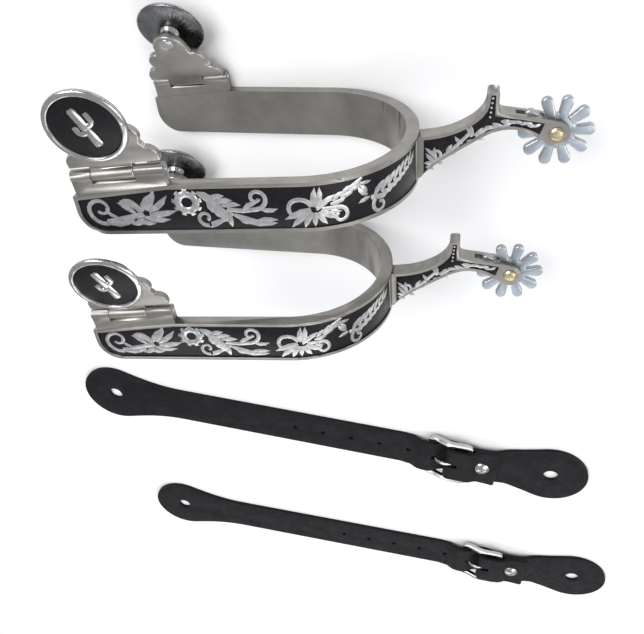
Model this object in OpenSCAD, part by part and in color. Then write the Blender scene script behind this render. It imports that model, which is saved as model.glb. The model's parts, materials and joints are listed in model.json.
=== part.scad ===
// A pair of western spurs with swinging button hangers, and their two buckled straps.
// Everything lies on a table (z = 0): each spur on the outer face of its right arm,
// the straps flat in front of them.

/* [Heel band] */
// Height of the band
band_h = 19; // [16:0.5:25]
// Thickness of the band
band_t = 4.8; // [4.4:0.1:5.5]
// Inside radius of the heel
heel_r = 36; // [33:0.5:40]
// Length of each arm, from the heel curve to its front end
arm_l = 79; // [74:1:90]
// Outward flare of each arm, in degrees
arm_flare = 3.43; // [0:0.01:5]
// Radius of the lower front corner of each arm
arm_corner_r = 9.5; // [6:0.5:12]

/* [Shank and rowel] */
// Thickness of the shank
shank_t = 7; // [6.5:0.5:9]
// Distance from the centre of the heel curve to the rowel pin
rowel_x = 88.8; // [87:0.2:92]
// Height of the rowel pin above the lower edge of the band
rowel_z = 18.5; // [17.5:0.1:19.5]
// Radius of the rowel over its points
rowel_r = 13.1; // [12:0.1:13.4]
// Number of points on the rowel
rowel_points = 10; // [6:1:12]
// Thickness of the rowel
rowel_t = 2.6; // [2:0.1:2.8]
// Radius of the rowel pin
rowel_pin_r = 1.6; // [1.2:0.1:1.8]

/* [Hangers and buttons] */
// Distance of the hinge middle in front of the heel curve centre
hinge_x = 61.2; // [58:0.2:63]
// Height of the hinge axis above the lower edge of the band
hinge_z = 23.3; // [22.8:0.1:24]
// Fall of the hinge axis towards the front, in degrees
hinge_fall = 4; // [2:0.5:5]
// Lean of the right hanger towards the boot, in degrees
right_lean = 30; // [20:1:35]
// Lean of the left hanger away from the boot, in degrees
left_lean = 12.5; // [0:0.5:20]
// Distance from the hinge axis to the button centre
button_reach = 23.3; // [22:0.1:25]
// Radius of the button
button_r = 13.6; // [12:0.1:14]

/* [Straps] */
// Length of a buckled strap
strap_l = 310; // [300:1:320]
// Width of the strap
strap_w = 24; // [20:0.5:24]
// Thickness of the leather
leather_t = 2.3; // [2.1:0.1:2.4]
// Radius of the round strap ends
strap_end_r = 20.5; // [18:0.5:22]
// Radius of the button hole
button_hole_r = 4.2; // [3.5:0.1:5]
// Number of free tongue holes
tongue_holes = 5; // [3:1:6]

/* [Layout] */
// Centre of the heel curve of spur a on the table
spur_a_at = [8, 135.5];
// Offset from spur a to spur b
spur_b_step = [-11, -62];
// Middle of strap 1
strap_1_at = [-12.3, -59.5];
// Turn of strap 1 on the table
strap_1_turn = -6.2;
// Middle of strap 2
strap_2_at = [11.87, -163.4];
// Turn of strap 2 on the table
strap_2_turn = -4.2;

/* [Hidden] */
$fn = 96;
big = 200;
left = -1;
right = 1;

steel = [0.62, 0.61, 0.59];
enamel = [0.03, 0.03, 0.035];
brass = [0.78, 0.64, 0.34];
leather = [0.07, 0.07, 0.075];
nickel = [0.82, 0.82, 0.8];

heel_out_r = heel_r + band_t;
arm_mid_y = heel_r + band_t / 2;
arm_front_x = arm_mid_y * sin(arm_flare) - arm_l * cos(arm_flare);
spur_b_at = spur_a_at + spur_b_step;

// Steps of the heel curve from the shank's line to each arm
heel_steps = 30;
// The front of the band's top edge falls with the hinge.
band_fall_x = 42;
band_fall_drop = (arm_l - band_fall_x) * tan(hinge_fall + 1.5);
inlay_rim = 1.4;
// The enamelled fields are pockets; the enamel in them stays below the polished rim.
pocket_d = 0.75;
enamel_t = 0.4;
// Step of the heel curve where each band inlay begins, clear of the shank's root
root_step = 3;

// Shank outline: the lower and upper curves leave the band and meet at the rowel eye.
root_x = heel_r + band_t - 1.5;
eye_r = 4.6;
guard_x0 = 64.4;
guard_x1 = 68.4;
guard_top = 34;
slot_w = 3.2;
slot_x = rowel_x - rowel_r - 1.2;
pin_head_r = 2.65;
pin_head_h = 0.9;
run_gap = 0.05;

knuckle_r = 2.4;
hinge_l = 33.6;
front_knuckle_l = 7.4;
rear_knuckle_l = 10.4;
knuckle_gap = 0.15;
foot_t = band_t - 0.6;
web_gap = 0.35;
hinge_pin_r = 0.9;
hinge_pin_over = 0.5;
plate_t = 2.6;
plate_base = 3.4;
post_r = 3.6;
post_shank_r = 1.8;
strap_gap = 3.6;
button_t = 3.2;
button_rim = 1.9;
button_dish = 0.9;
motif_h = 1.1;
motif_lean = 17;

tongue_hole_r = 1.4;
tongue_pitch = 17.3;
first_hole_s = 137.5;
frame_s0 = 217.5;
frame_s1 = 243.5;
frame_half_w = 16.5;
rail_w = 3.2;
bar_w = 2.6;
bar_s = 232;
bar_r = 1.1;
bar_z = 5.85;
left_bar_z = 2.6;
screw_s = 250;
// The screw's head presses its own seat into the leather that rises to the bar.
screw_seat_r = 4.65;
billet_end_s = 243.5;
tab_end_s = 259;
lower_z = 2.4;
tongue_s = 222.2;
tongue_slot_w = 3.2;
tongue_w = 2.2;
tongue_loop_r = 2.3;

// ---- helpers ----

function arc(c, r, a0, a1, n) = [for (i = [0 : n]) c + r * [cos(a0 + (a1 - a0) * i / n), sin(a0 + (a1 - a0) * i / n)]];

// A cubic curve from p0 to p3, left in n steps, without its first point
function curve(p0, p1, p2, p3, n) = [
    for (i = [1 : n]) let (t = i / n, u = 1 - t)
        u * u * u * p0 + 3 * u * u * t * p1 + 3 * u * t * t * p2 + t * t * t * p3
];

function reversed(pts) = [for (i = [len(pts) - 1 : -1 : 0]) pts[i]];
function mirrored(pts) = [for (p = pts) [p[0], -p[1]]];

// Lays a spur's own frame (x to the rowel, z up the boot) on its right arm on the table
module lay_spur(at) {
    translate([at[0], at[1], heel_out_r])
        rotate([-90, 0, 0])
            rotate([0, 0, arm_flare])
                children();
}

// Puts a piece that is drawn on the right arm, along -x with its outer face at +y, on either arm
module on_arm(side) {
    if (side == right)
        rotate([0, 0, -arm_flare]) children();
    else
        mirror([0, 1, 0]) rotate([0, 0, -arm_flare]) children();
}

// Origin on the hinge axis in the middle of the hinge, x along the axis
module at_hinge(side) {
    on_arm(side)
        translate([-hinge_x, arm_mid_y, hinge_z])
            rotate([0, -hinge_fall, 0])
                children();
}

// The hanger's own frame: x along the hinge, y out through the button, z up the plate
module on_hanger(side) {
    lean = side == right ? right_lean : -left_lean;
    at_hinge(side) rotate([lean, 0, 0]) children();
}

module lay_strap(at, turn) {
    translate([at[0], at[1], 0]) rotate([0, 0, turn]) translate([-strap_l / 2, 0, 0]) children();
}

// ---- heel band and shank ----

// Side view of the band, x to the rowel: rounded below at the front, falling above towards the front
module band_side(rim) {
    corner_r = arm_corner_r - rim;
    front = arm_front_x + rim;
    difference() {
        polygon([
            [front, rim],
            [heel_out_r + 5, rim],
            [heel_out_r + 5, band_h - rim],
            [-band_fall_x, band_h - rim],
            [front, band_h - rim - band_fall_drop]
        ]);
        difference() {
            translate([front - 1, rim - 1]) square(corner_r + 1);
            translate([front + corner_r, rim + corner_r]) circle(corner_r);
        }
    }
}

// Points of the right half seen from above at one offset from the inner face, from a step of the
// heel curve to a little past the front of the arm
function half_line(offset, first) = let (r = heel_r + offset) concat(
    [for (i = [first : heel_steps]) let (a = (90 - arm_flare) * i / heel_steps) r * [cos(a), sin(a)]],
    [r * [sin(arm_flare), cos(arm_flare)] + (arm_l + 5) * [-cos(arm_flare), sin(arm_flare)]]
);

// A band seen from above, cut to its side view
module band_slab(plan, rim) {
    intersection() {
        translate([0, 0, -1]) linear_extrude(band_h + 2) polygon(plan);
        in_side_view(-big / 2, big / 2) band_side(rim);
    }
}

// Points of the shank's side view, anticlockwise from the foot of its root
shank_outline = concat(
    [[root_x, 1.2], [41.4, 1.2]],
    curve([41.4, 1.2], [45, 6.2], [52, 10.2], [60, 15.4], 8),
    curve([60, 15.4], [66, 19.4], [71, 21.6], [77, 19.8], 8),
    curve([77, 19.8], [80, 18.9], [83, 17.2], [86.2, 14.7], 5),
    arc([rowel_x, rowel_z], eye_r, 236, 440, 16),
    curve([89.6, 23.03], [84, 24.6], [77, 25.2], [70.4, 26.3], 6),
    curve([70.4, 26.3], [68.9, 26.6], [68.4, 27.2], [68.4, 28.4], 4),
    [[guard_x1, guard_top - 0.6], [guard_x1 - 0.6, guard_top], [guard_x0 + 0.6, guard_top],
     [guard_x0, guard_top - 0.6]],
    curve([64.4, 31.6], [64.2, 27.4], [61.6, 24.4], [56.6, 21.6], 8),
    curve([56.6, 21.6], [52.6, 19.3], [48, 18], [42, 17.6], 6),
    [[root_x, 17.6]]
);

// The enamelled field on each side of the shank, between its root and the eye
shank_field = concat(
    [[42.6, 3.2]],
    curve([42.6, 3.2], [45.6, 7.6], [52.4, 11.8], [59.6, 16.6], 8),
    curve([59.6, 16.6], [65.8, 20.7], [71.2, 22.8], [77.2, 21], 6),
    curve([77.2, 21], [79.4, 20.4], [81.2, 19.6], [83, 18.4], 3),
    [[84.4, 22.6]],
    curve([84.4, 22.6], [80, 23.6], [74, 24.4], [67.2, 25.4], 4),
    [[67.2, 33], [65.6, 33]],
    curve([65.6, 31.2], [65.3, 26.6], [62.4, 23.4], [57.2, 20.5], 6),
    curve([57.2, 20.5], [53.2, 18.3], [48.4, 16.9], [42.6, 16.4], 6)
);

module in_side_view(y0, y1) {
    translate([0, y1, 0]) rotate([90, 0, 0]) linear_extrude(y1 - y0) children();
}

// A layer of one side of the shank that starts at the bottom of its pocket
module shank_field_solid(side, t) {
    floor_at = shank_t / 2 - pocket_d;
    if (side == right)
        in_side_view(floor_at, floor_at + t) polygon(shank_field);
    else
        in_side_view(-floor_at - t, -floor_at) polygon(shank_field);
}

module shank_solid() {
    difference() {
        in_side_view(-shank_t / 2, shank_t / 2) polygon(shank_outline);
        translate([slot_x, -slot_w / 2, 0]) cube([big, slot_w, 30]);
        translate([rowel_x, 0, rowel_z]) rotate([90, 0, 0]) cylinder(r = rowel_pin_r, h = big, center = true);
        shank_field_solid(left, pocket_d + 1);
        shank_field_solid(right, pocket_d + 1);
    }
}

// The raised edge of the band below the middle knuckle, clear of it
module hinge_web(side) {
    at_hinge(side)
        translate([-hinge_l / 2 + 2, -foot_t / 2, -9])
            cube([hinge_l - 4, foot_t, 9 - knuckle_r - web_gap]);
}

// A band knuckle from u0 to u1 along the hinge, standing on a foot that runs down into the band
module band_knuckle(side, u0, u1) {
    difference() {
        at_hinge(side) {
            translate([u0, 0, 0]) rotate([0, 90, 0]) cylinder(r = knuckle_r, h = u1 - u0);
            translate([u0, -foot_t / 2, -9]) cube([u1 - u0, foot_t, 9]);
        }
        at_hinge(side) rotate([0, 90, 0]) cylinder(r = hinge_pin_r, h = big, center = true);
    }
}

module heel_band_solid() {
    difference() {
        union() {
            band_slab(concat(half_line(band_t, 0), reversed(half_line(0, 0)),
                             mirrored(half_line(0, 1)), reversed(mirrored(half_line(band_t, 1)))), 0);
            for (side = [left, right]) {
                band_knuckle(side, -hinge_l / 2, -hinge_l / 2 + front_knuckle_l);
                band_knuckle(side, hinge_l / 2 - rear_knuckle_l, hinge_l / 2);
                hinge_web(side);
            }
            shank_solid();
        }
        band_field(left, pocket_d + 1);
        band_field(right, pocket_d + 1);
    }
}

// A layer of one side of the band that starts at the bottom of its pocket
module band_field(side, t) {
    floor_at = band_t - pocket_d;
    plan = concat(half_line(floor_at + t, root_step), reversed(half_line(floor_at, root_step)));
    band_slab(side == right ? plan : mirrored(plan), inlay_rim);
}

module heel_band(at) { color(steel) lay_spur(at) heel_band_solid(); }
module band_inlay(at, side) { color(enamel) lay_spur(at) band_field(side, enamel_t); }
module shank_inlay(at, side) { color(enamel) lay_spur(at) shank_field_solid(side, enamel_t); }

// ---- rowel ----

module rowel_plan() {
    hub_r = 6.6;
    tip_r = 2.05;
    tip_at = rowel_r - tip_r;
    circle(hub_r);
    for (i = [0 : rowel_points - 1])
        rotate(i * 360 / rowel_points + 3.5) {
            translate([tip_at, 0]) circle(tip_r);
            polygon([[4, -1.3], [hub_r + 0.4, -1.6], [tip_at, -tip_r],
                     [tip_at, tip_r], [hub_r + 0.4, 1.6], [4, 1.3]]);
        }
}

module rowel(at) {
    color([0.66, 0.68, 0.7])
        lay_spur(at)
            translate([rowel_x, 0, rowel_z])
                rotate([90, 0, 0])
                    difference() {
                        linear_extrude(rowel_t, center = true) rowel_plan();
                        cylinder(r = rowel_pin_r + run_gap, h = big, center = true);
                    }
}

module rowel_pin(at) {
    half = shank_t / 2;
    color(brass)
        lay_spur(at)
            translate([rowel_x, 0, rowel_z])
                rotate([90, 0, 0])
                    rotate_extrude()
                        polygon([
                            [0, -half - pin_head_h], [pin_head_r - 0.9, -half - pin_head_h],
                            [pin_head_r, -half - 0.3], [pin_head_r, -half], [rowel_pin_r, -half],
                            [rowel_pin_r, half], [pin_head_r, half], [pin_head_r, half + 0.3],
                            [pin_head_r - 0.9, half + pin_head_h], [0, half + pin_head_h]
                        ]);
}

// ---- hangers and buttons ----

module hinge_pin(at, side) {
    color(steel)
        lay_spur(at)
            at_hinge(side)
                rotate([0, 90, 0])
                    cylinder(r = hinge_pin_r, h = hinge_l + 2 * hinge_pin_over, center = true);
}

// Stepped outline of the hanger plate: broad at the hinge, with a rounded shoulder at each step
module hanger_outline() {
    base_half = hinge_l / 2 - 0.3;
    shoulder_r = 4;
    middle_r = 4.2;
    top_r = 6.8;
    middle = [8.2, 13.6];
    top = button_reach - 2.6;
    polygon([[-base_half, plate_base], [base_half, plate_base], [base_half, 5.2],
             [base_half - shoulder_r, 5.2 + shoulder_r], [middle[0] + middle_r, 10], [middle[0], 15],
             [top_r, top], [-top_r, top], [-middle[0], 15], [-middle[0] - middle_r, 10],
             [-base_half + shoulder_r, 5.2 + shoulder_r], [-base_half, 5.2]]);
    for (k = [-1, 1]) {
        translate([k * (base_half - shoulder_r), 5.2]) circle(shoulder_r);
        translate([k * middle[0], middle[1]]) circle(middle_r);
    }
    translate([0, top]) circle(top_r);
}

module hanger(at, side) {
    u0 = -hinge_l / 2 + front_knuckle_l + knuckle_gap;
    u1 = hinge_l / 2 - rear_knuckle_l - knuckle_gap;
    color(steel)
        lay_spur(at)
            on_hanger(side)
                difference() {
                    union() {
                        translate([0, plate_t - knuckle_r, 0])
                            rotate([90, 0, 0])
                                linear_extrude(plate_t)
                                    intersection() {
                                        hanger_outline();
                                        translate([-big / 2, plate_base]) square(big);
                                    }
                        translate([u0, 0, 0]) rotate([0, 90, 0]) cylinder(r = knuckle_r, h = u1 - u0);
                        translate([u0, -knuckle_r, 0]) cube([u1 - u0, plate_t, plate_base + 1]);
                    }
                    rotate([0, 90, 0]) cylinder(r = hinge_pin_r + run_gap, h = big, center = true);
                    translate([0, 0, button_reach])
                        rotate([90, 0, 0])
                            cylinder(r = post_shank_r, h = big, center = true);
                }
}

// Origin at the button's centre on the outer face of the plate, z out along the post
module at_button(side) {
    on_hanger(side)
        translate([0, plate_t - knuckle_r, button_reach])
            rotate([-90, 0, 0])
                children();
}

// The post: riveted behind the plate, a collar that spaces the button off, and a tenon into its back
module button_post(at, side) {
    rivet_h = 0.5;
    color(steel)
        lay_spur(at)
            at_button(side)
                rotate_extrude()
                    polygon([
                        [0, -plate_t - rivet_h], [post_shank_r + 0.9, -plate_t - rivet_h],
                        [post_shank_r + 1.3, -plate_t], [post_shank_r, -plate_t], [post_shank_r, 0],
                        [post_r, 0], [post_r - 0.6, strap_gap / 2], [post_r + 0.4, strap_gap],
                        [post_shank_r, strap_gap], [post_shank_r, strap_gap + 1.2], [0, strap_gap + 1.2]
                    ]);
}

// The button: a dished back, a rounded edge and a raised rim round a sunk field
module button(at, side) {
    edge_r = 1.2;
    color(nickel)
        lay_spur(at)
            at_button(side)
                translate([0, 0, strap_gap])
                    rotate_extrude()
                        polygon(concat(
                            [[post_shank_r, 0], [post_r + 1.6, 0], [button_r - 3, 0.9]],
                            arc([button_r - edge_r, button_t - edge_r], edge_r, -60, 90, 6),
                            [[button_r - button_rim, button_t],
                             [button_r - button_rim - 0.3, button_t - button_dish],
                             [0, button_t - button_dish], [0, 1.2], [post_shank_r, 1.2]]
                        ));
}

module button_inlay(at, side) {
    color(enamel)
        lay_spur(at)
            at_button(side)
                translate([0, 0, strap_gap + button_t - button_dish])
                    cylinder(r = button_r - button_rim - 0.35, h = 0.3);
}

// A rounded bar between two points
module bar_2d(a, b, r) {
    d = b - a;
    translate(a) circle(r, $fn = 32);
    translate(b) circle(r, $fn = 32);
    translate(a) rotate(atan2(d[1], d[0])) translate([0, -r]) square([norm(d), 2 * r]);
}

// A plain desert plant: a trunk and two raised arms
module motif_outline() {
    bar_2d([0, -7], [0, 7.4], 1.7);
    bar_2d([0, -1.6], [-4.4, -1.6], 1.15);
    bar_2d([-4.4, -1.6], [-4.4, 2.6], 1.15);
    bar_2d([0, 0.4], [4.4, 0.4], 1.15);
    bar_2d([4.4, 0.4], [4.4, 4.8], 1.15);
}

module button_motif(at, side) {
    color(nickel)
        lay_spur(at)
            at_button(side)
                translate([0, 0, strap_gap + button_t - button_dish + 0.3])
                    rotate(180 - side * motif_lean)
                        linear_extrude(motif_h)
                            motif_outline();
}

// ---- straps ----

// Upper edge of a strap end, from the tip round its button hole and in to the strap's own width
leave = 71;
strap_edge = concat(
    arc([strap_end_r, 0], strap_end_r, 180, leave, 24),
    curve(strap_end_r * [1 + cos(leave), sin(leave)], [40, 15.2], [50, strap_w / 2], [66, strap_w / 2], 10)
);

// Outline of a strap half whose inner end is given by the points that close it
module strap_outline(close) {
    polygon(concat(strap_edge, close, reversed(mirrored(strap_edge))));
}

// Extrudes a side view (s along the strap, z up) across a width
module across(w) {
    translate([0, w / 2, 0]) rotate([90, 0, 0]) linear_extrude(w) children();
}

// Side view of the billet: flat, up over the outer bar, then down under the fold
module billet_side() {
    rise = left_bar_z + bar_r + 0.1;
    line = [[0, 0], [203, 0], [209, 0.9], [213, rise - 0.7], [216.5, rise], [220, rise],
            [222.5, rise - 0.9], [226, 0.6], [228, 0.02], [billet_end_s, 0.02]];
    n = len(line);
    polygon(concat(line, [for (i = [0 : n - 1]) line[n - 1 - i] + [0, leather_t]]));
}

module strap_billet(at, turn) {
    color(leather)
        lay_strap(at, turn)
            difference() {
                intersection() {
                    linear_extrude(12)
                        strap_outline(arc([billet_end_s - strap_w / 2, 0], strap_w / 2, 90, -90, 24));
                    across(big) billet_side();
                }
                translate([strap_end_r, 0, -1]) cylinder(r = button_hole_r, h = 20);
                for (i = [0 : tongue_holes - 1])
                    translate([first_hole_s + i * tongue_pitch, 0, -1]) cylinder(r = tongue_hole_r, h = 20);
                translate([tongue_s, 0, -1]) cylinder(r = 1.7, h = 20);
            }
}

// Side view of the chape: up from the table, round the bar from below and back as a tab
module chape_side() {
    fold_out = bar_r + 0.05 + leather_t;
    top = lower_z + leather_t;
    polygon(concat(
        [[strap_l, 0], [strap_l, leather_t], [266, leather_t], [264, leather_t + 0.3], [257, top - 0.3],
         [255, top], [tab_end_s, top + 0.05]],
        [[tab_end_s, top + leather_t - 0.8], [tab_end_s - 1.2, top + leather_t],
         [249, top + leather_t], [247.6, top + leather_t + 0.3], [244.4, bar_z + fold_out - 0.4],
         [243, bar_z + fold_out]],
        arc([bar_s, bar_z], fold_out, 90, 270, 20),
        [[254, bar_z - fold_out], [257, bar_z - fold_out - 0.4], [263, 0.4], [266, 0]]
    ));
}

// The space inside the fold, round the centre bar and over the inner bar
module fold_space() {
    fold_in = bar_r + 0.05;
    polygon(concat(
        arc([bar_s, bar_z], fold_in, 90, 270, 16),
        [[244.6, bar_z - fold_in], [246.6, bar_z - fold_in + 0.02], [244.2, bar_z + fold_in - 0.6],
         [243.6, bar_z + fold_in]]
    ));
}

module strap_chape(at, turn) {
    tongue_slot_end = bar_s + 4;
    fold_end = strap_l - bar_s + 4;
    color(leather)
        lay_strap(at, turn)
            difference() {
                intersection() {
                    linear_extrude(12)
                        translate([strap_l, 0])
                            mirror([1, 0])
                                strap_outline([[fold_end, strap_w / 2], [fold_end, -strap_w / 2]]);
                    across(big) difference() {
                        chape_side();
                        fold_space();
                    }
                }
                translate([strap_l - strap_end_r, 0, -1]) cylinder(r = button_hole_r, h = 20);
                translate([bar_s - 6, -tongue_slot_w / 2, bar_z - tongue_loop_r - 0.1])
                    cube([tongue_slot_end - bar_s + 6, tongue_slot_w, 10]);
                translate([screw_s, 0, -1]) cylinder(r = 2, h = 20);
                translate([screw_s, 0, lower_z + 2 * leather_t]) cylinder(r = screw_seat_r, h = 5);
            }
}

// Side view of the bowed frame
module frame_side() {
    line = [[frame_s0 - 1, left_bar_z], [220.6, left_bar_z], [224, left_bar_z + 0.9], [228, bar_z - 0.7],
            [231, bar_z], [frame_s1 + 1, bar_z]];
    n = len(line);
    polygon(concat(line - [for (i = line) [0, bar_r]],
                   [for (i = [0 : n - 1]) line[n - 1 - i] + [0, bar_r]]));
}

module round_rect(s0, s1, half_w, r) {
    translate([s0 + r, -half_w]) square([s1 - s0 - 2 * r, 2 * half_w]);
    translate([s0, -half_w + r]) square([s1 - s0, 2 * half_w - 2 * r]);
    for (s = [s0 + r, s1 - r], t = [-half_w + r, half_w - r])
        translate([s, t]) circle(r);
}

module buckle_frame(at, turn) {
    color(nickel)
        lay_strap(at, turn) {
            intersection() {
                linear_extrude(12) difference() {
                    round_rect(frame_s0, frame_s1, frame_half_w, 4);
                    round_rect(frame_s0 + bar_w, frame_s1 - bar_w, frame_half_w - rail_w, 1.5);
                }
                across(big) frame_side();
            }
            translate([bar_s, 0, bar_z])
                rotate([90, 0, 0])
                    cylinder(r = bar_r, h = 2 * (frame_half_w - rail_w) + 1, center = true);
        }
}

module buckle_tongue(at, turn) {
    color(nickel)
        lay_strap(at, turn)
            across(tongue_w)
                difference() {
                    union() {
                        translate([bar_s, bar_z]) circle(tongue_loop_r);
                        polygon([[bar_s, bar_z + tongue_loop_r], [228.4, 8.5], [226.4, 8.2], [224.2, 7],
                                 [222.6, 5.4], [221.4, 4.1], [221.9, 3.9], [223.6, 5], [225.2, 6.1],
                                 [227.2, 6.9], [bar_s - 1.9, bar_z + 1.2]]);
                    }
                    translate([bar_s, bar_z]) circle(bar_r);
                }
}

module screw_post(at, turn) {
    color(nickel)
        lay_strap(at, turn)
            translate([screw_s, 0, 0]) {
                translate([0, 0, lower_z - 0.9]) cylinder(r = 4, h = 0.9);
                translate([0, 0, lower_z]) cylinder(r = 2, h = 2 * leather_t);
            }
}

module screw_cap(at, turn) {
    top = lower_z + 2 * leather_t;
    color(nickel)
        lay_strap(at, turn)
            translate([screw_s, 0, top])
                difference() {
                    rotate_extrude()
                        polygon(concat([[0, 0]], arc([0, -4.4], 6.3, 44.3, 90, 10)));
                    rotate(35) translate([-6, -0.4, 1.1]) cube([12, 0.8, 2]);
                }
}

// ---- nodes ----

heel_band(spur_a_at);  // heel_band_a
band_inlay(spur_a_at, left);  // band_inlay_left_a
band_inlay(spur_a_at, right);  // band_inlay_right_a
shank_inlay(spur_a_at, left);  // shank_inlay_left_a
shank_inlay(spur_a_at, right);  // shank_inlay_right_a
rowel(spur_a_at);  // rowel_a
rowel_pin(spur_a_at);  // rowel_pin_a
hinge_pin(spur_a_at, left);  // hinge_pin_left_a
hinge_pin(spur_a_at, right);  // hinge_pin_right_a
hanger(spur_a_at, left);  // hanger_left_a
button_post(spur_a_at, left);  // button_post_left_a
button(spur_a_at, left);  // button_left_a
button_inlay(spur_a_at, left);  // button_inlay_left_a
button_motif(spur_a_at, left);  // button_motif_left_a
hanger(spur_a_at, right);  // hanger_right_a
button_post(spur_a_at, right);  // button_post_right_a
button(spur_a_at, right);  // button_right_a
button_inlay(spur_a_at, right);  // button_inlay_right_a
button_motif(spur_a_at, right);  // button_motif_right_a
heel_band(spur_b_at);  // heel_band_b
band_inlay(spur_b_at, left);  // band_inlay_left_b
band_inlay(spur_b_at, right);  // band_inlay_right_b
shank_inlay(spur_b_at, left);  // shank_inlay_left_b
shank_inlay(spur_b_at, right);  // shank_inlay_right_b
rowel(spur_b_at);  // rowel_b
rowel_pin(spur_b_at);  // rowel_pin_b
hinge_pin(spur_b_at, left);  // hinge_pin_left_b
hinge_pin(spur_b_at, right);  // hinge_pin_right_b
hanger(spur_b_at, left);  // hanger_left_b
button_post(spur_b_at, left);  // button_post_left_b
button(spur_b_at, left);  // button_left_b
button_inlay(spur_b_at, left);  // button_inlay_left_b
button_motif(spur_b_at, left);  // button_motif_left_b
hanger(spur_b_at, right);  // hanger_right_b
button_post(spur_b_at, right);  // button_post_right_b
button(spur_b_at, right);  // button_right_b
button_inlay(spur_b_at, right);  // button_inlay_right_b
button_motif(spur_b_at, right);  // button_motif_right_b
strap_billet(strap_1_at, strap_1_turn);  // strap_billet_1
strap_chape(strap_1_at, strap_1_turn);  // strap_chape_1
buckle_frame(strap_1_at, strap_1_turn);  // buckle_frame_1
buckle_tongue(strap_1_at, strap_1_turn);  // buckle_tongue_1
screw_post(strap_1_at, strap_1_turn);  // screw_post_1
screw_cap(strap_1_at, strap_1_turn);  // screw_cap_1
strap_billet(strap_2_at, strap_2_turn);  // strap_billet_2
strap_chape(strap_2_at, strap_2_turn);  // strap_chape_2
buckle_frame(strap_2_at, strap_2_turn);  // buckle_frame_2
buckle_tongue(strap_2_at, strap_2_turn);  // buckle_tongue_2
screw_post(strap_2_at, strap_2_turn);  // screw_post_2
screw_cap(strap_2_at, strap_2_turn);  // screw_cap_2
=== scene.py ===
import json
import math

import bpy
from mathutils import Matrix, Vector


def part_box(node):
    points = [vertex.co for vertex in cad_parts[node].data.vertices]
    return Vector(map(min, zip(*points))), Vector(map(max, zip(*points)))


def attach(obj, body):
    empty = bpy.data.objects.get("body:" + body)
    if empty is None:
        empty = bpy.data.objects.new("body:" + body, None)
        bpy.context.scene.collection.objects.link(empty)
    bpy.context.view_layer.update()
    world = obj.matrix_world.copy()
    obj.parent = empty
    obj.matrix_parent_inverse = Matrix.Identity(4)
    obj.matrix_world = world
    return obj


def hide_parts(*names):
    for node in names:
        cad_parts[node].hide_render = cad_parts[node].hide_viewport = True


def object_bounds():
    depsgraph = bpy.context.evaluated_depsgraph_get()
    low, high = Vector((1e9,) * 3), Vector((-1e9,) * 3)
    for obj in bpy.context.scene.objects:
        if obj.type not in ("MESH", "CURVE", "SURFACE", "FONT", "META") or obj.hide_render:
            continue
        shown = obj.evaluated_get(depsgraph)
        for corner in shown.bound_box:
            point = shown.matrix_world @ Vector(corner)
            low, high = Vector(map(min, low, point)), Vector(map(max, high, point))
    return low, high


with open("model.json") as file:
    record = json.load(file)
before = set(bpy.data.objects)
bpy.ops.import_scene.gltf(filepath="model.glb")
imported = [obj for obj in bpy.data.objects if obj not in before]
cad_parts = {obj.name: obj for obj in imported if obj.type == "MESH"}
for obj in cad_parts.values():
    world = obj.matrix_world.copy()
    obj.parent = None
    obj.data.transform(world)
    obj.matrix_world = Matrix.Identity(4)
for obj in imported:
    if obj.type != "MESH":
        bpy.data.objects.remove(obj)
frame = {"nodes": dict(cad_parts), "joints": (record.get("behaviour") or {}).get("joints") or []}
cad_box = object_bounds()
bpy.ops.object.select_all(action="DESELECT")

MM = 0.001
JOINTS = {joint["name"]: joint for joint in frame["joints"]}
SIDES = ("left", "right")
SPURS = ("a", "b")
STRAPS = ("1", "2")
PAIRS = [(side, k) for k in SPURS for side in SIDES]

# The spur's own measures, as the castings have them
ARM_FLARE = math.radians(3.43)
HEEL_OUT = 40.8 * MM
SHANK_HALF = 3.5 * MM
ROWEL_X = 88.8 * MM

# The enamel lies this far below the rim, and the ornament may stand this high on it
SUNK = 0.35 * MM
RELIEF_TOP = 0.34 * MM

# How the ornament is drawn flat: heights in millimetres, the most degrees in one step of a turn,
# how a swelling's height follows its width, a leaf's shares of its width, and a scroll's winding
RAISED = 0.42
SHANK_STEM_RAISED = 0.4
TURN_STEP = 24
THINNING = 0.4
LEAF_ROOT = 0.45
LEAF_SWELL = (2.1, 0.85, 0.12)
WINDING = 0.74

# How far the plant on a button leans off the line from its hinge
PLANT_LEAN = math.radians(17)

# How the castings are cleaned, and which faces of a button count as its back, where painted shade goes
WELD = 0.002 * MM
FLAT_WITHIN = math.radians(0.3)
BACK_FACING = -0.3


# ---- camera: down on the table, with the near spur at the top of the view ----

LENS = 40.59
CAMERA_AT = Vector((0.0774, 0.2703, 0.2873))
LOOK = Vector((-0.2184, -0.6266, -0.7481))
SIDEWAYS = Vector((0.9727, -0.0785, -0.2182))
UPWARD = Vector((-0.0780, 0.7754, -0.6267))

camera_data = bpy.data.cameras.new("camera")
camera_data.sensor_width = 36
camera_data.lens = LENS
camera_data.clip_start = 0.01
camera = bpy.data.objects.new("camera", camera_data)
bpy.context.scene.collection.objects.link(camera)
bpy.context.scene.camera = camera
turned = Matrix((SIDEWAYS, UPWARD, -LOOK)).transposed().to_4x4()
camera.matrix_world = Matrix.Translation(CAMERA_AT) @ turned


# ---- finishes ----

def finish_tree(name):
    material = bpy.data.materials.new(name)
    material.use_nodes = True
    tree = material.node_tree
    return material, tree, tree.nodes["Principled BSDF"]


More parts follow.
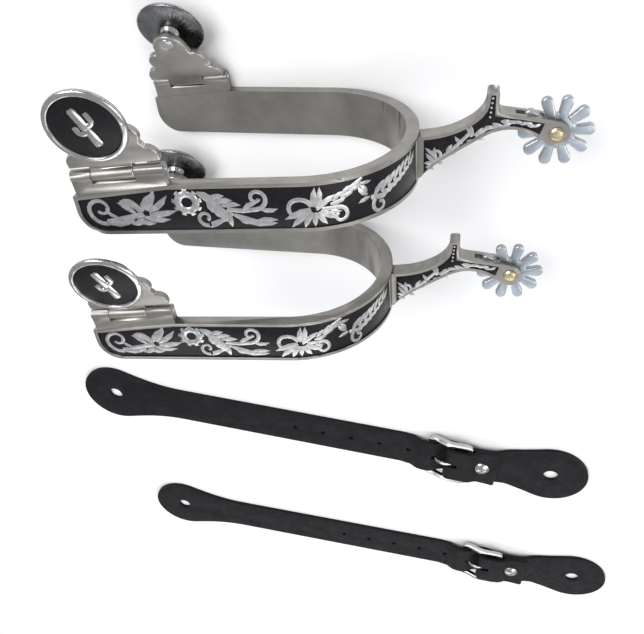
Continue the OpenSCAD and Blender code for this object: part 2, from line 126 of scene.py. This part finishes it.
def noise(tree, scale, detail, stretch=(1, 1, 1)):
    """A noise on Object coordinates; its scale is in features per metre."""
    where = tree.nodes.new("ShaderNodeTexCoord")
    mapping = tree.nodes.new("ShaderNodeMapping")
    mapping.inputs["Scale"].default_value = stretch
    texture = tree.nodes.new("ShaderNodeTexNoise")
    texture.inputs["Scale"].default_value = scale
    texture.inputs["Detail"].default_value = detail
    tree.links.new(where.outputs["Object"], mapping.inputs["Vector"])
    tree.links.new(mapping.outputs["Vector"], texture.inputs["Vector"])
    return texture.outputs["Fac"]


def spread(tree, value, low, high, start=0.3, end=0.7):
    """Maps a value between start and end onto low to high."""
    remap = tree.nodes.new("ShaderNodeMapRange")
    limits = (("From Min", start), ("From Max", end), ("To Min", low), ("To Max", high))
    for socket, number in limits:
        remap.inputs[socket].default_value = number
    tree.links.new(value, remap.inputs["Value"])
    return remap.outputs["Result"]


def two_tones(tree, value, dark, light, start=0.3, end=0.7):
    ramp = tree.nodes.new("ShaderNodeValToRGB")
    ramp.color_ramp.elements[0].position = start
    ramp.color_ramp.elements[0].color = (*dark, 1)
    ramp.color_ramp.elements[1].position = end
    ramp.color_ramp.elements[1].color = (*light, 1)
    tree.links.new(value, ramp.inputs["Fac"])
    return ramp.outputs["Color"]


def bumps(tree, shader, layers):
    """Stacks bump layers of (height, strength, distance) on a shader's normal."""
    last = None
    for height, strength, distance in layers:
        bump = tree.nodes.new("ShaderNodeBump")
        bump.inputs["Strength"].default_value = strength
        bump.inputs["Distance"].default_value = distance
        tree.links.new(height, bump.inputs["Height"])
        if last:
            tree.links.new(last, bump.inputs["Normal"])
        last = bump.outputs["Normal"]
    tree.links.new(last, shader.inputs["Normal"])


def metal(name, dark, light, rough, patch, grain, stretch=(1, 1, 1), relief=0.15):
    """A metal with soft patches of colour and a fine grain in its roughness and surface."""
    material, tree, shader = finish_tree(name)
    shader.inputs["Metallic"].default_value = 1.0
    tone = two_tones(tree, noise(tree, patch, 5), dark, light)
    tree.links.new(tone, shader.inputs["Base Color"])
    fine = noise(tree, grain, 3, stretch)
    tree.links.new(spread(tree, fine, *rough), shader.inputs["Roughness"])
    bumps(tree, shader, [(fine, relief, 0.02 * MM)])
    return material


satin_steel = metal("satin_steel", (0.27, 0.258, 0.24), (0.35, 0.335, 0.31), rough=(0.34, 0.46),
                    patch=110, grain=2600, stretch=(0.35, 1, 1))
polished_steel = metal("polished_steel", (0.46, 0.45, 0.44), (0.58, 0.57, 0.56), rough=(0.14, 0.26),
                       patch=220, grain=1800)
relief_silver = metal("relief_silver", (0.40, 0.40, 0.40), (0.62, 0.62, 0.615), rough=(0.26, 0.42),
                      patch=420, grain=3600, relief=0.3)
rowel_steel = metal("rowel_steel", (0.30, 0.34, 0.38), (0.40, 0.44, 0.49), rough=(0.36, 0.52),
                    patch=240, grain=3000)
brass = metal("brass", (0.46, 0.38, 0.22), (0.70, 0.62, 0.42), rough=(0.20, 0.38),
              patch=700, grain=3000, relief=0.4)
# painted shade: a darker copy of the nickel, put on the buttons' backs where shade falls
painted_shade_nickel = metal("painted_shade_nickel", (0.12, 0.125, 0.13), (0.21, 0.215, 0.22), rough=(0.20, 0.34),
                      patch=240, grain=1800)
bright_nickel = metal("bright_nickel", (0.40, 0.395, 0.385), (0.52, 0.515, 0.50), rough=(0.12, 0.24),
                      patch=200, grain=1500)


def black_enamel():
    material, tree, shader = finish_tree("black_enamel")
    shader.inputs["Specular IOR Level"].default_value = 0.22
    shade = two_tones(tree, noise(tree, 500, 4), (0.002, 0.002, 0.003), (0.007, 0.007, 0.009))
    tree.links.new(shade, shader.inputs["Base Color"])
    pits = noise(tree, 2400, 3)
    tree.links.new(spread(tree, pits, 0.28, 0.5), shader.inputs["Roughness"])
    bumps(tree, shader, [(pits, 0.25, 0.05 * MM)])
    return material


def black_leather():
    material, tree, shader = finish_tree("black_leather")
    shader.inputs["Specular IOR Level"].default_value = 0.15
    shader.inputs["Sheen Weight"].default_value = 0.01
    shader.inputs["Sheen Roughness"].default_value = 0.5
    shade = two_tones(tree, noise(tree, 90, 6), (0.0035, 0.004, 0.0048), (0.0085, 0.009, 0.0105))
    tree.links.new(shade, shader.inputs["Base Color"])
    where = tree.nodes.new("ShaderNodeTexCoord")
    cells = tree.nodes.new("ShaderNodeTexVoronoi")
    cells.feature = "DISTANCE_TO_EDGE"
    cells.inputs["Scale"].default_value = 1150
    tree.links.new(where.outputs["Object"], cells.inputs["Vector"])
    creases = spread(tree, cells.outputs["Distance"], 0, 1, 0.0, 0.22)
    grain = noise(tree, 3800, 4)
    tree.links.new(spread(tree, noise(tree, 260, 5), 0.46, 0.66), shader.inputs["Roughness"])
    waves = noise(tree, 120, 3)
    bumps(tree, shader, [(creases, 0.35, 0.12 * MM), (grain, 0.25, 0.06 * MM), (waves, 0.3, 0.5 * MM)])
    return material


def raw_edge():
    material, tree, shader = finish_tree("leather_edge")
    shade = two_tones(tree, noise(tree, 1400, 5), (0.008, 0.008, 0.009), (0.03, 0.029, 0.028))
    tree.links.new(shade, shader.inputs["Base Color"])
    fibres = noise(tree, 4200, 5, (1, 1, 0.3))
    tree.links.new(spread(tree, fibres, 0.55, 0.8), shader.inputs["Roughness"])
    bumps(tree, shader, [(fibres, 0.5, 0.08 * MM)])
    return material


enamel = black_enamel()
leather = black_leather()
leather_edge = raw_edge()


# ---- pieces made from the castings ----

def copied(source, name, *finishes):
    """A new object with its own copy of a mesh, in the given finishes."""
    piece = bpy.data.objects.new(name, source.data.copy())
    piece.data.name = name
    bpy.context.scene.collection.objects.link(piece)
    piece.data.materials.clear()
    for finish in finishes:
        piece.data.materials.append(finish)
    return piece


def settle(piece, body, slot, *nodes):
    """Says what a finished piece rides on and hides the nodes that it stands for; its slot is not used.
    """
    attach(piece, body)
    if nodes:
        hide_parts(*nodes)
    piece.select_set(False)
    return piece


def take_up(piece):
    bpy.ops.object.select_all(action="DESELECT")
    piece.select_set(True)
    bpy.context.view_layer.objects.active = piece


def smooth_edges(piece, angle=32):
    take_up(piece)
    bpy.ops.object.shade_smooth_by_angle(angle=math.radians(angle))


def softened(node, name, body, slot, finishes, width, segments=2, angle=28):
    """A copy of a node with clean faces and rounded edges; its edges take the last finish."""
    piece = copied(frame["nodes"][node], name, *finishes)
    take_up(piece)
    bpy.ops.object.mode_set(mode="EDIT")
    bpy.ops.mesh.select_all(action="SELECT")
    bpy.ops.mesh.remove_doubles(threshold=WELD)
    bpy.ops.mesh.dissolve_limited(angle_limit=FLAT_WITHIN)
    bpy.ops.object.mode_set(mode="OBJECT")
    for face in piece.data.polygons:
        face.material_index = 0
    bevel = piece.modifiers.new("rounded_edges", "BEVEL")
    bevel.width = width
    bevel.segments = segments
    bevel.limit_method = "ANGLE"
    bevel.angle_limit = math.radians(angle)
    bevel.material = len(finishes) - 1
    bevel.use_clamp_overlap = True
    bpy.ops.object.modifier_apply(modifier=bevel.name)
    smooth_edges(piece)
    return settle(piece, body, slot, node)


steels = (satin_steel, polished_steel)
leathers = (leather, leather_edge)
# the middle nickel is painted shade for the buttons' backs
nickels = (bright_nickel, painted_shade_nickel, bright_nickel)

for k in SPURS:
    spur = "spur_" + k
    softened("heel_band_" + k, "band_casting_" + k, spur, "steel", steels, 0.45 * MM, 3)
    softened("rowel_" + k, "rowel_wheel_" + k, "rowel_" + k, "rowel_steel",
             (rowel_steel, polished_steel), 0.5 * MM, 3)
    softened("rowel_pin_" + k, "rowel_rivet_" + k, spur, "brass", (brass,), 0.25 * MM)
    for side in SIDES:
        tag = "_%s_%s" % (side, k)
        hanger = "hanger" + tag
        softened("hinge_pin" + tag, "hinge_rod" + tag, spur, "steel", (polished_steel,), 0.25 * MM)
        softened(hanger, "hanger_plate" + tag, hanger, "steel", steels, 0.5 * MM, 3)
        softened("button_post" + tag, "button_neck" + tag, hanger, "steel", (polished_steel,), 0.2 * MM)
        softened("button" + tag, "concho" + tag, hanger, "nickel", nickels, 0.2 * MM)
        softened("button_inlay" + tag, "concho_ground" + tag, hanger, "enamel", (enamel,), 0.08 * MM)
        softened("band_inlay" + tag, "band_ground" + tag, spur, "enamel", (enamel,), 0.05 * MM)
        softened("shank_inlay" + tag, "shank_ground" + tag, spur, "enamel", (enamel,), 0.05 * MM)

for k in STRAPS:
    strap = "strap_" + k
    softened("strap_billet_" + k, "billet_leather_" + k, strap, "leather", leathers, 0.5 * MM, 3, 40)
    softened("strap_chape_" + k, "chape_leather_" + k, strap, "leather", leathers, 0.5 * MM, 3, 40)
    softened("buckle_frame_" + k, "buckle_" + k, strap, "nickel", (bright_nickel,), 0.6 * MM, 4)
    softened("buckle_tongue_" + k, "tongue_" + k, strap, "nickel", (bright_nickel,), 0.45 * MM, 3)
    softened("screw_post_" + k, "screw_barrel_" + k, strap, "nickel", (bright_nickel,), 0.15 * MM)
    softened("screw_cap_" + k, "screw_head_" + k, strap, "nickel", (bright_nickel,), 0.12 * MM)


# ---- raised ornament, drawn flat and then laid on the metal ----

def grow(at, heading, width, height, runs, profile=6, blunt=False):
    """A stem, leaf or hook: a small section swept along runs of (turn, radius, swelling).
    A run without a turn goes straight on for its radius. Headings and turns are in degrees,
    anticlockwise; the spin operator turns the other way. Lengths are in millimetres, and the
    height swells by less than the width."""
    place = Vector((at[0] * MM, at[1] * MM, 0))
    bearing = math.radians(heading)
    bpy.ops.object.select_all(action="DESELECT")
    bpy.ops.mesh.primitive_circle_add(vertices=profile, radius=MM / 2, location=place,
                                      rotation=(math.pi / 2, 0, bearing + math.pi / 2))
    bpy.ops.object.transform_apply(location=True, rotation=True, scale=True)
    piece = bpy.context.object
    bpy.ops.object.mode_set(mode="EDIT")
    bpy.ops.mesh.select_all(action="SELECT")
    bpy.ops.transform.resize(value=(width, width, height * 2), center_override=place)
    for turn, radius, swelling in runs:
        steps = max(1, math.ceil(abs(turn) / TURN_STEP))
        part = math.radians(turn) / steps
        for _ in range(steps):
            if turn:
                leftward = Vector((-math.sin(bearing), math.cos(bearing), 0))
                centre = place + leftward * math.copysign(radius * MM, turn)
                bpy.ops.mesh.spin(steps=1, angle=-part, center=centre, axis=(0, 0, 1))
                place = centre + Matrix.Rotation(part, 3, "Z") @ (place - centre)
                bearing += part
            else:
                along = Vector((math.cos(bearing), math.sin(bearing), 0)) * radius * MM
                bpy.ops.mesh.extrude_region_move(TRANSFORM_OT_translate={"value": along})
                place = place + along
            swell = swelling ** (1 / steps)
            bpy.ops.transform.resize(value=(swell, swell, swell ** THINNING), center_override=place)
    if blunt:
        bpy.ops.mesh.edge_face_add()
    else:
        bpy.ops.mesh.merge(type="CENTER")
    bpy.ops.mesh.select_all(action="SELECT")
    bpy.ops.mesh.fill_holes(sides=0)
    bpy.ops.mesh.select_all(action="SELECT")
    bpy.ops.mesh.normals_make_consistent(inside=False)
    bpy.ops.object.mode_set(mode="OBJECT")
    return piece


def joined(pieces, name):
    """Makes one object of several and gives it its name."""
    take_up(pieces[0])
    for piece in pieces:
        piece.select_set(True)
    bpy.ops.object.join()
    whole = bpy.context.object
    whole.name = name
    whole.data.name = name
    bpy.ops.object.transform_apply(location=True, rotation=True, scale=True)
    return whole


def leaf(at, heading, length, width, bend):
    """An almond leaf that turns by its bend, in degrees, along its length."""
    third = length / 3
    turn = bend / 3
    radius = third / math.radians(abs(turn))
    return grow(at, heading, width * LEAF_ROOT, RAISED,
                [(turn, radius, swelling) for swelling in LEAF_SWELL])


def curl(at, heading, radius, way, width, turns):
    """A scroll that winds in, by quarter turns, to a round end."""
    runs = [(90 * way, radius * WINDING ** i, 0.9) for i in range(turns)]
    runs += [(60 * way, radius * WINDING ** turns, 1.25), (0, 0.4, 0.6)]
    return grow(at, heading, width, RAISED, runs, blunt=True)


def flower(at, ring=3.2, tube=1.25, petals=9, petal_length=0.9, flatness=0.34):
    """A ring whose outer faces are drawn out into petals; its middle stays open."""
    middle = Vector((at[0] * MM, at[1] * MM, 0))
    bpy.ops.object.select_all(action="DESELECT")
    bpy.ops.mesh.primitive_torus_add(major_segments=petals * 4, minor_segments=6, location=middle,
                                     major_radius=ring * MM, minor_radius=tube * MM)
    bpy.ops.object.transform_apply(location=True, rotation=True, scale=True)
    piece = bpy.context.object
    bpy.ops.object.mode_set(mode="EDIT")
    bpy.ops.mesh.select_mode(type="FACE")
    bpy.ops.mesh.select_all(action="DESELECT")
    bpy.ops.object.mode_set(mode="OBJECT")
    for face in piece.data.polygons:
        out = face.center - middle
        turn = math.degrees(math.atan2(out.y, out.x)) % (360 / petals)
        face.select = out.length > (ring + tube * 0.5) * MM and turn < 180 / petals
    bpy.ops.object.mode_set(mode="EDIT")
    bpy.ops.mesh.extrude_region_shrink_fatten(TRANSFORM_OT_shrink_fatten={"value": petal_length * MM})
    bpy.ops.mesh.select_all(action="SELECT")
    bpy.ops.transform.resize(value=(1, 1, flatness), center_override=middle)
    bpy.ops.mesh.select_mode(type="VERT")
    bpy.ops.object.mode_set(mode="OBJECT")
    return piece


def bead(at, radius=0.5):
    """A round bead, flattened to the height of the other ornament."""
    middle = (at[0] * MM, at[1] * MM, 0)
    bpy.ops.object.select_all(action="DESELECT")
    bpy.ops.mesh.primitive_uv_sphere_add(segments=10, ring_count=6, radius=radius * MM,
                                         location=middle)
    bpy.ops.object.mode_set(mode="EDIT")
    bpy.ops.transform.resize(value=(1, 1, RAISED / radius), center_override=middle)
    bpy.ops.object.mode_set(mode="OBJECT")
    bpy.ops.object.transform_apply(location=True, rotation=True, scale=True)
    return bpy.context.object


# Places are in millimetres. Along the band, x runs from the heel's start towards the shank
# (negative on the arm), and y is the height on the band.

# Scroll and leaf cluster at the front of the arm
band_parts = [curl((-69, 4.2), 182, 5.5, -1, 2.0, 4),
              grow((-55, 8.0), 202, 2.4, RAISED, [(-22, 38, 0.8)], blunt=True),
              leaf((-59, 6), 207, 9, 2.5, -20), leaf((-63, 4.8), 192, 8, 2.2, -26),
              leaf((-65, 7), 166, 5.5, 1.8, -60), leaf((-55.5, 6.6), 226, 6, 2.2, -30),
              grow((-56, 9), 104, 2.6, RAISED, [(56, 4.5, 1.15), (30, 6, 0.8), (-30, 4, 0.3)]),
              leaf((-57.5, 12.6), 158, 5.5, 2.6, 30), leaf((-59.4, 10), 150, 5, 2.2, -40),
              leaf((-58, 8.4), 128, 6, 2.4, 40)]
band_parts += [leaf((-55.4, 9.2), 74, 8.2, 2.6, -34), leaf((-54, 9.6), 50, 9.6, 3.0, 24),
               leaf((-53, 9), 24, 10, 3.0, 30), leaf((-53, 7.8), -2, 10.4, 3.0, 20),
               leaf((-55, 6.8), -20, 9.6, 2.9, 26), leaf((-58, 6), -30, 7, 2.6, 26),
               leaf((-61, 5), -24, 5, 2.0, 20)]
band_parts += [flower((-38.8, 12.2))]
# Middle spray: a broad leaf with lobes, a scroll above on the right and another below on the left
band_parts += [grow((-34, 15.6), -34, 1.6, RAISED, [(-16, 26, 1.6), (10, 30, 1.1)], blunt=True),
               leaf((-34.6, 16), -14, 7.4, 3.0, -30), leaf((-33, 15), -44, 8, 3.0, 20),
               leaf((-30.6, 13.6), 30, 5.6, 2.6, -40), leaf((-28.8, 12.2), 24, 6.4, 2.7, -40),
               leaf((-26.6, 10.8), 20, 6.8, 2.7, -40), leaf((-31.4, 12.6), -78, 6, 2.7, 40),
               leaf((-29.4, 11), -84, 6, 2.7, 40), leaf((-27, 9.4), -92, 5.6, 2.6, 40),
               leaf((-35.4, 15.4), 176, 3.4, 2.0, 20)]
band_parts += [grow((-25, 9.4), -14, 2.0, RAISED, [(26, 24, 1.0)], blunt=True),
               curl((-14.6, 9.2), 6, 3.9, 1, 2.0, 4),
               leaf((-19, 9.6), 44, 6, 2.3, -40), leaf((-13, 9.2), -20, 6, 2.2, 40),
               grow((-23, 8), 224, 2.0, RAISED, [(-34, 16, 0.85)], blunt=True),
               curl((-32.2, 3.1), 186, 2.9, -1, 1.7, 3),
               leaf((-27, 4.8), 200, 6, 2.0, 16), leaf((-24, 6.8), -104, 4.6, 2.3, 30),
               leaf((-22.6, 7.2), -30, 14, 3.4, 22), leaf((-21, 5.8), -44, 5, 2.3, 40),
               leaf((-14.6, 4.8), 12, 7.2, 2.4, -24), leaf((-15, 4), -8, 7.4, 2.3, 10)]
# Large spray where the arm turns into the heel
band_parts += [curl((4.6, 9.8), 112, 4.6, 1, 2.1, 3), leaf((5.4, 9.6), 98, 7.4, 2.7, -26),
               leaf((6.4, 9.6), 70, 7.4, 2.7, 20), leaf((7, 9.4), 46, 7, 2.5, -24),
               leaf((4.2, 8.8), 196, 10.4, 3.2, 14), leaf((4, 8), 214, 9.6, 3.0, 16),
               leaf((4.6, 7.6), 234, 7, 2.7, 20), leaf((5.6, 7.4), 262, 5.6, 2.5, 10),
               leaf((6.6, 7.4), 290, 6, 2.6, 20), leaf((7.4, 7.8), 318, 7, 2.6, 26)]
band_parts += [grow((6, 8.8), 14, 2.0, RAISED, [(22, 30, 0.9), (-14, 30, 0.7)], blunt=True),
               leaf((12, 11), 62, 5, 2.2, -50), leaf((15.4, 12.8), 64, 4.4, 2.0, -50),
               leaf((11, 10), -2, 6.4, 2.2, 40), leaf((14.6, 12), 2, 6, 2.1, 40),
               leaf((18, 13.6), 8, 5.6, 2.0, 30),
               leaf((19.4, 14.6), 48, 3.8, 1.8, -60), leaf((22, 15), 4, 4.4, 1.7, -10)]
band_parts += [grow((8, 8.4), -6, 1.8, RAISED, [(10, 36, 1.0)], blunt=True),
               curl((13.6, 8.4), 2, 3.1, -1, 1.8, 3),
               leaf((11, 7.6), -30, 4.2, 1.8, 30), leaf((8.6, 7.6), 334, 7, 2.2, -30)]
# Long feather that climbs the heel
band_parts += [curl((28, 7.4), 222, 3.1, 1, 1.8, 3),
               grow((26, 8.2), 14, 2.2, RAISED, [(12, 100, 0.8)], blunt=True)]
for i in range(7):
    base = (27.5 + 3.1 * i, 8.6 + 0.75 * i)
    fade = 1 - 0.05 * i
    band_parts += [leaf(base, 66 + 2 * i, 7.6 * fade, 2.7 * fade, -52),
                   leaf(base, -32 + 2 * i, 6.8 * fade, 2.6 * fade, 48)]
band_parts += [leaf((47, 12.6), 22, 6, 2.6, 20), leaf((24.6, 10.2), 152, 5.4, 2.2, -40),
               leaf((25.4, 9), 182, 4.6, 2.0, 30), leaf((24.4, 11.4), 110, 4, 1.9, 40)]

band_pattern = joined(band_parts, "band_pattern")

# On the shank, x and y are the casting's own: out from the heel's centre, and up.
shank_parts = [grow((45, 6.4), 30, 1.4, SHANK_STEM_RAISED, [(16, 28, 1), (-4, 60, 1.0)], blunt=True),
               leaf((46.4, 7.2), 176, 3.8, 2.0, 10), leaf((46.6, 8), 146, 4.6, 2.0, -20),
               leaf((46, 6.4), 214, 3.0, 1.8, -30), leaf((47.2, 8.8), 118, 5.0, 2.0, -40),
               leaf((45.8, 5.8), 252, 2.2, 1.5, 30), leaf((46.2, 10.4), 128, 4.4, 1.7, 20),
               curl((48.6, 9.6), 64, 1.9, 1, 1.3, 3), leaf((51, 11.2), 82, 4.0, 1.7, -40),
               leaf((51.6, 10.8), 4, 3.6, 1.5, 34), leaf((47.6, 7.4), -24, 3.0, 1.4, 40)]
shank_parts += [grow((51, 10.8), 40, 1.4, SHANK_STEM_RAISED, [(12, 30, 1), (-10, 34, 1.1)], blunt=True),
                leaf((56.4, 15.0), 150, 4.0, 1.8, -30), leaf((54.6, 13.4), 86, 3.6, 1.6, -40),
                leaf((58.0, 16.0), -10, 3.4, 1.7, 40), leaf((59.4, 17.6), 84, 4.6, 2.0, 20),
                leaf((60.4, 18.2), 34, 4.8, 2.1, -20), leaf((61, 17.8), 60, 4.0, 1.8, -10),
                leaf((61.4, 17.6), -30, 3.0, 1.6, 20), leaf((60.0, 18.2), 118, 4.0, 1.8, 30)]
shank_parts += [grow((61.6, 19), 40, 1.5, SHANK_STEM_RAISED, [(-40, 11, 1), (-10, 22, 0.9)], blunt=True),
                leaf((64, 21.2), 12, 3.4, 1.6, -30), leaf((66.6, 22.6), -10, 4.4, 1.7, -20),
                leaf((69.4, 23.4), 8, 3.8, 1.7, -20), leaf((71.6, 23.4), -16, 4.0, 1.7, 30),
                leaf((73.6, 23.2), 4, 3.8, 1.6, -30), leaf((75.6, 22.8), -18, 3.6, 1.6, 40),
                leaf((77.4, 22.6), 10, 3.4, 1.5, -40), leaf((78.6, 22), -22, 3.2, 1.4, 30),
                leaf((80.4, 21.6), 2, 2.8, 1.4, 20), leaf((70.2, 22.8), -24, 3.0, 1.4, 30)]
shank_parts += [bead((65.6 + 0.15 * i, 25 + 1.7 * i)) for i in range(5)]
shank_pattern = joined(shank_parts, "shank_pattern")


def spur_to_table(k):
    """The spur's own frame (x to the rowel, z up the boot) as it lies on the table."""
    rowel = Vector(JOINTS["rowel_spin_" + k]["pos_m"])
    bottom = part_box("heel_band_" + k)[0][1]
    centre = (rowel.x - ROWEL_X * math.cos(ARM_FLARE), bottom, HEEL_OUT)
    laid = Matrix.Rotation(-math.pi / 2, 4, "X")
    return Matrix.Translation(centre) @ laid @ Matrix.Rotation(ARM_FLARE, 4, "Z")


def around_band(point):
    """A flat point laid round the right half of the band, in the spur's own frame."""
    radius = HEEL_OUT - SUNK + min(point.z, RELIEF_TOP)
    if point.x <= 0:
        place = Vector((point.x, radius, point.y))
    else:
        turn = math.pi / 2 - point.x / HEEL_OUT
        place = Vector((radius * math.cos(turn), radius * math.sin(turn), point.y))
    return Matrix.Rotation(-ARM_FLARE, 3, "Z") @ place


def on_cheek(point):
    """A flat point laid on the right side of the shank, in the spur's own frame."""
    return Vector((point.x, SHANK_HALF - SUNK + min(point.z, RELIEF_TOP), point.y))


def lay_pattern(pattern, name, shape, side, k):
    """Lays a copy of a flat pattern on one side of a spur; the left side mirrors the right."""
    piece = copied(pattern, name, relief_silver)
    lay = spur_to_table(k)
    for vertex in piece.data.vertices:
        place = shape(vertex.co)
        if side == "left":
            place.y = -place.y
        vertex.co = lay @ place
    if side == "right":
        piece.data.flip_normals()
    smooth_edges(piece, 50)
    return settle(piece, "spur_" + k, "nickel")


for side, k in PAIRS:
    lay_pattern(band_pattern, "band_scroll_%s_%s" % (side, k), around_band, side, k)
    lay_pattern(shank_pattern, "shank_scroll_%s_%s" % (side, k), on_cheek, side, k)
for pattern in (band_pattern, shank_pattern):
    bpy.data.objects.remove(pattern)


# ---- the plant on each button ----

def mean_point(node):
    corners = [vertex.co for vertex in frame["nodes"][node].data.vertices]
    return sum(corners, Vector()) / len(corners)


def square_to(way, axis):
    """What is left of a direction when its part along an axis is taken away."""
    return way - axis * way.dot(axis)


def plant_on(tag):
    """Sets a plant on a button, with its top away from the hinge, and paints shade on the button's back.
    """
    joint = JOINTS["hanger%s_swing" % tag]
    axis = Vector(joint["axis"]).normalized()
    middle = mean_point("button_inlay" + tag)
    out = square_to(middle - mean_point("button_post" + tag), axis).normalized()
    away = square_to(middle - Vector(joint["pos_m"]), axis)
    top = square_to(away, out).normalized()
    ground = frame["nodes"]["button_inlay" + tag].data.vertices
    surface = max((vertex.co - middle).dot(out) for vertex in ground)
    for face in bpy.data.objects["concho" + tag].data.polygons:
        # faces turned away from the button's front get the darker nickel as painted shade
        if face.normal.dot(out) < BACK_FACING:
            face.material_index = nickels.index(painted_shade_nickel)
    turned = Matrix((top.cross(out), top, out)).transposed() @ Matrix.Rotation(PLANT_LEAN, 3, "Z")
    piece = copied(plant, "plant" + tag, bright_nickel)
    piece.data.transform(Matrix.Translation(middle + out * surface) @ turned.to_4x4())
    smooth_edges(piece, 40)
    settle(piece, "hanger" + tag, "nickel", "button_motif" + tag)


# A trunk of two lengths and two raised arms, drawn flat with its top along y
plant = joined([grow((0, -7.2), 90, 2.9, 0.62, [(0, 0.5, 1.1), (0, 6.2, 0.95), (0, 0.4, 0.7)], 8, True),
                grow((0, -0.6), 90, 2.9, 0.72, [(0, 0.5, 1.12), (0, 6.8, 0.98), (0, 0.9, 0.55)], 8, True),
                grow((0.2, -1.8), 180, 1.9, 0.6,
                     [(0, 1.9, 1), (-90, 1.5, 1), (0, 1.6, 1), (0, 0.6, 0.6)], 8, True),
                grow((-0.2, 0.2), 0, 1.9, 0.6,
                     [(0, 2.2, 1), (90, 1.5, 1), (0, 2.4, 1), (0, 0.6, 0.6)], 8, True)], "plant")
for side, k in PAIRS:
    plant_on("_%s_%s" % (side, k))
bpy.data.objects.remove(plant)


# ---- floor and light ----

def pale_floor():
    bpy.ops.object.select_all(action="DESELECT")
    bpy.ops.mesh.primitive_plane_add(size=6, location=(0, 0, cad_box[0][2] - 0.0001))
    floor = bpy.context.object
    floor.name = "floor"
    material, tree, shader = finish_tree("pale_floor")
    shade = two_tones(tree, noise(tree, 3, 2), (0.90, 0.90, 0.90), (0.93, 0.93, 0.93))
    tree.links.new(shade, shader.inputs["Base Color"])
    shader.inputs["Roughness"].default_value = 0.8
    shader.inputs["Specular IOR Level"].default_value = 0.2
    floor.data.materials.append(material)


def soft_light(name, place, aim, size, power):
    light = bpy.data.lights.new(name, "AREA")
    light.shape = "RECTANGLE"
    light.size, light.size_y = size
    light.energy = power
    lamp = bpy.data.objects.new(name, light)
    bpy.context.scene.collection.objects.link(lamp)
    lamp.location = place
    lamp.rotation_euler = (Vector(aim) - Vector(place)).to_track_quat("-Z", "Y").to_euler()


pale_floor()
soft_light("key", place=(-0.5, 0.9, 1.2), aim=(0, 0.05, 0), size=(0.9, 0.9), power=15)
soft_light("fill", place=(0.9, -0.1, 1.0), aim=(0, 0.0, 0), size=(0.7, 1.0), power=6)
soft_light("back", place=(0.1, -1.1, 0.9), aim=(0, 0.05, 0), size=(1.4, 0.5), power=5)
bpy.context.scene.view_settings.view_transform = "Standard"
world = bpy.data.worlds.new("studio")
bpy.context.scene.world = world
world.use_nodes = True
background = world.node_tree.nodes["Background"]
background.inputs["Color"].default_value = (0.95, 0.96, 1.0, 1)
background.inputs["Strength"].default_value = 0.55
